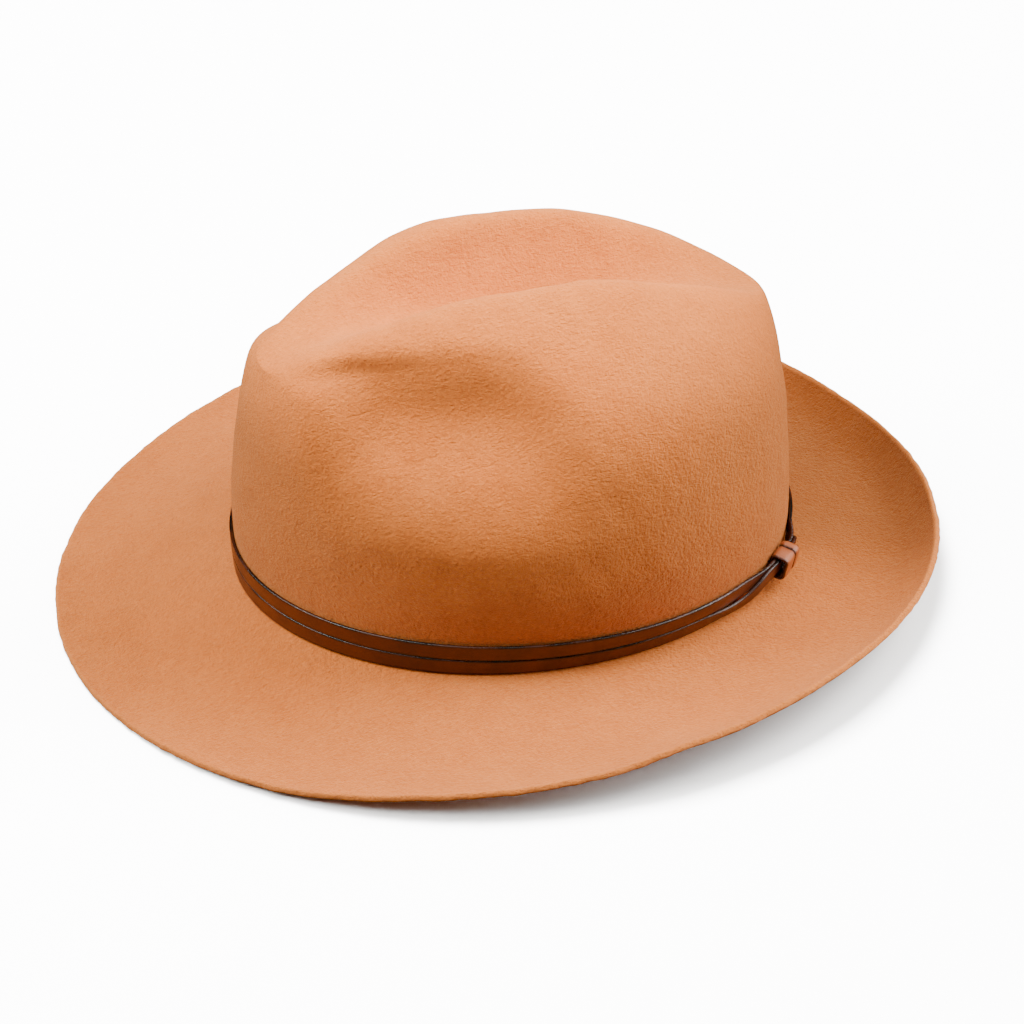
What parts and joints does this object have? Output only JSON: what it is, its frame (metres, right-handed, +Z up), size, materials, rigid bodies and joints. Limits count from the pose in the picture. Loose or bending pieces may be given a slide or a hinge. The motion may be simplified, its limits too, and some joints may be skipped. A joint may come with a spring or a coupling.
{
  "type": "fedora hat",
  "caption": "Soft felt fedora with teardrop crown, pinched front, curled brim, slim twin-strap leather band with sliding keeper, leather sweatband and lining.",
  "frame": {"origin": "on the floor that the hat stands on, at the middle of the hat's box", "axes": "+Z up; the front of the hat looks along -Y; the wearer's left is +X"},
  "size_m": [0.2958, 0.3288, 0.1298],
  "materials": {
    "wool_felt": "camel wool felt, soft brushed nap, raw cut edge",
    "band_leather": "dark red-brown smooth leather, black painted edges",
    "keeper_leather": "tan brown smooth leather, dark painted edges",
    "sweatband_leather": "mid brown semi-gloss leather",
    "tape_cloth": "brown woven cotton tape",
    "reed_plastic": "natural white plastic reed",
    "thread": "tan polyester thread",
    "bow_ribbon": "dark brown grosgrain ribbon",
    "tab_cloth": "plain off-white woven tab, blank",
    "lining_satin": "bronze satin lining",
    "piping_satin": "dark brown satin piping"
  },
  "bodies": {
    "hat": {"felt_body": "wool_felt", "band_strap_upper": "band_leather", "band_strap_lower": "band_leather", "band_tacks": "thread", "sweatband": "sweatband_leather", "reed_tape": "tape_cloth", "sweatband_joint_tape": "tape_cloth", "sweatband_reed": "reed_plastic", "sweatband_stitches": "thread", "rear_bow": "bow_ribbon", "size_tab": "tab_cloth", "lining_side": "lining_satin", "lining_tip": "lining_satin", "lining_piping": "piping_satin"},
    "keeper": {"keeper_ring_wide": "keeper_leather", "keeper_ring_narrow": "keeper_leather"}
  },
  "joints": [
    {"name": "keeper_slide", "type": "hinge", "parent": "hat", "child": "keeper", "pos_m": [-0.01404, 0.01758, 0.0197], "axis": [0, 0.0267, 0.9996], "range_deg": [-1.8, 1.8]}
  ]
}
